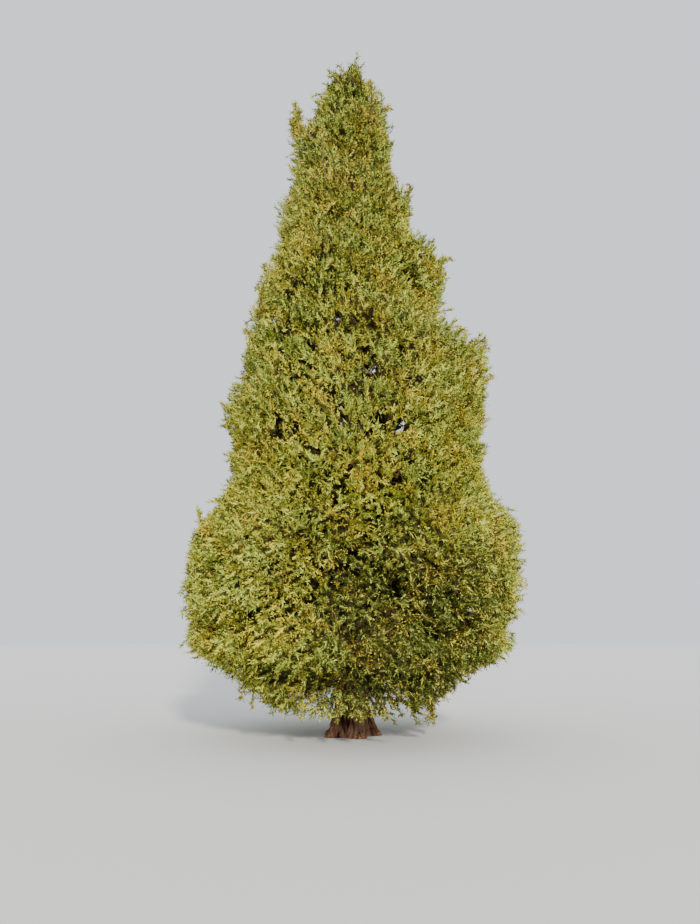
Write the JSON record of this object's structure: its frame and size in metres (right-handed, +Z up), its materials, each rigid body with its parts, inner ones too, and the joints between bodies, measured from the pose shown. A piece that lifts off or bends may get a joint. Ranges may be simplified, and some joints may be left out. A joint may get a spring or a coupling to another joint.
{
  "type": "incense cedar tree",
  "caption": "Tall conical evergreen conifer with a fluted tapering trunk and tiered, upswept masses of flat scaly sprays, rooted in level ground.",
  "frame": {"origin": "centre of the trunk's flat cut at ground level", "axes": "+Z up along the trunk, -Y towards the side that the picture shows"},
  "size_m": [5.6349, 5.2589, 12.9711],
  "materials": {
    "bark": "furrowed, fibrous cinnamon-brown bark",
    "foliage": "scaly yellow-green sprays with ochre tips"
  },
  "bodies": {
    "root": {"broad_bough_1": "bark", "broad_bough_2": "bark", "broad_bough_3": "bark", "broad_bough_4": "bark", "broad_bough_5": "bark", "broad_bough_6": "bark", "broad_mass_1": "foliage", "broad_mass_2": "foliage", "broad_mass_3": "foliage", "broad_mass_4": "foliage", "broad_mass_5": "foliage", "broad_mass_6": "foliage", "crest_mass_1": "foliage", "crest_mass_2": "foliage", "crest_mass_3": "foliage", "hem_bough_1": "bark", "hem_bough_2": "bark", "hem_bough_3": "bark", "hem_bough_4": "bark", "hem_bough_5": "bark", "hem_mass_1": "foliage", "hem_mass_2": "foliage", "hem_mass_3": "foliage", "hem_mass_4": "foliage", "hem_mass_5": "foliage", "high_mass_1": "foliage", "high_mass_2": "foliage", "high_mass_3": "foliage", "middle_mass_1": "foliage", "middle_mass_2": "foliage", "middle_mass_3": "foliage", "middle_mass_4": "foliage", "shoulder_mass_1": "foliage", "shoulder_mass_2": "foliage", "shoulder_mass_3": "foliage", "shoulder_mass_4": "foliage", "skirt_bough_1": "bark", "skirt_bough_2": "bark", "skirt_bough_3": "bark", "skirt_bough_4": "bark", "skirt_bough_5": "bark", "skirt_bough_6": "bark", "skirt_mass_1": "foliage", "skirt_mass_2": "foliage", "skirt_mass_3": "foliage", "skirt_mass_4": "foliage", "skirt_mass_5": "foliage", "skirt_mass_6": "foliage", "top_mass": "foliage", "trunk": "bark", "waist_bough_1": "bark", "waist_bough_2": "bark", "waist_bough_3": "bark", "waist_bough_4": "bark", "waist_bough_5": "bark", "waist_mass_1": "foliage", "waist_mass_2": "foliage", "waist_mass_3": "foliage", "waist_mass_4": "foliage", "waist_mass_5": "foliage"}
  },
  "joints": []
}
